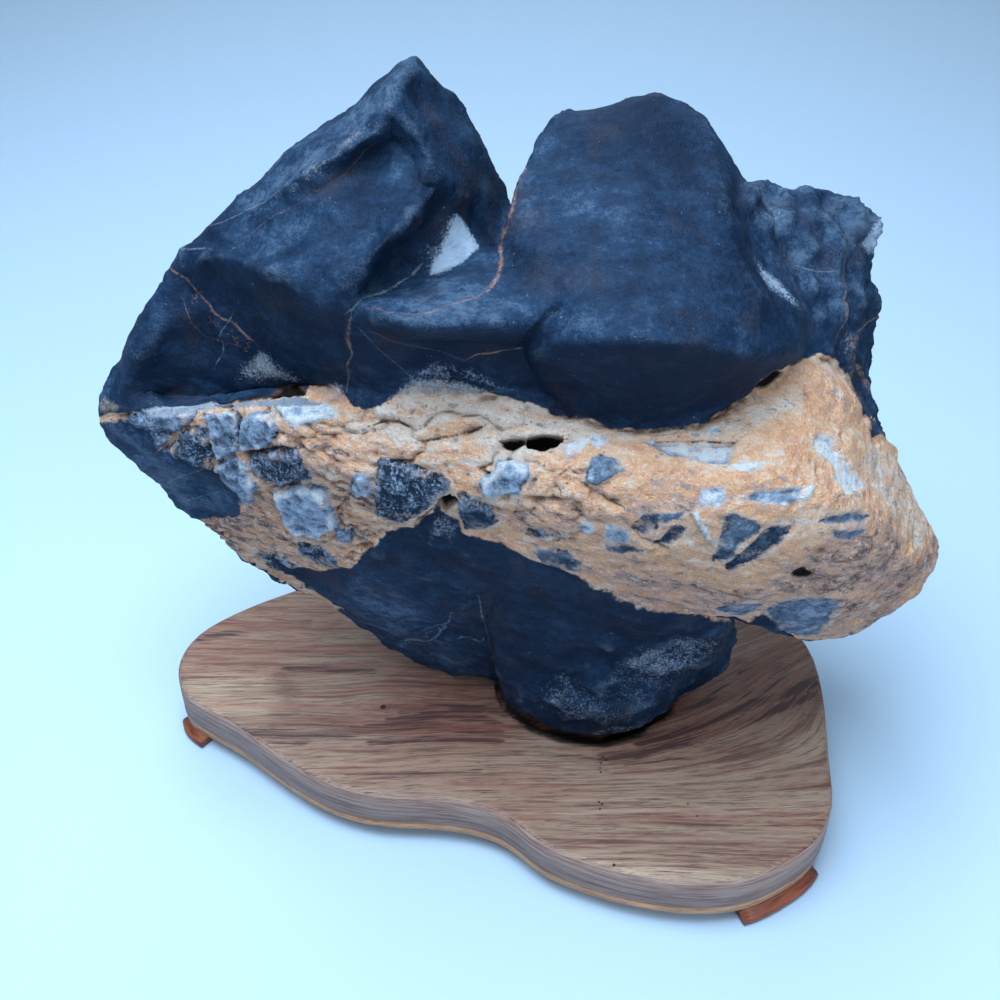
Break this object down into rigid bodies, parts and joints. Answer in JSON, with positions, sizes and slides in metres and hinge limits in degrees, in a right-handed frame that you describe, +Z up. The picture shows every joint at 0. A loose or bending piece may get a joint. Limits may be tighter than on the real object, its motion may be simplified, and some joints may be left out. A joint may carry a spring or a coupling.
{
  "type": "scholars rock on a wooden stand",
  "caption": "Natural dark limestone scholar's rock with a peak, a boulder and a breccia belt, standing in the socket of a low shaped wooden base.",
  "frame": {"origin": "middle of the whole object's footprint box, on the surface it stands on", "axes": "+Z up, +X to the right along the length of rock and stand, -Y towards the viewer"},
  "size_m": [0.2486, 0.1482, 0.2327],
  "materials": {
    "stone": "naturally worn, satin",
    "plate_wood": "bare, streaky brown grain",
    "rim_wood": "thin orange-brown varnish",
    "foot_wood": "thin orange-brown varnish"
  },
  "bodies": {
    "root": {"stone": "stone", "base_plate": "plate_wood", "base_rim": "rim_wood", "foot_front_right": "foot_wood", "foot_back_right": "foot_wood", "foot_back_left": "foot_wood", "foot_left": "foot_wood"}
  },
  "joints": []
}
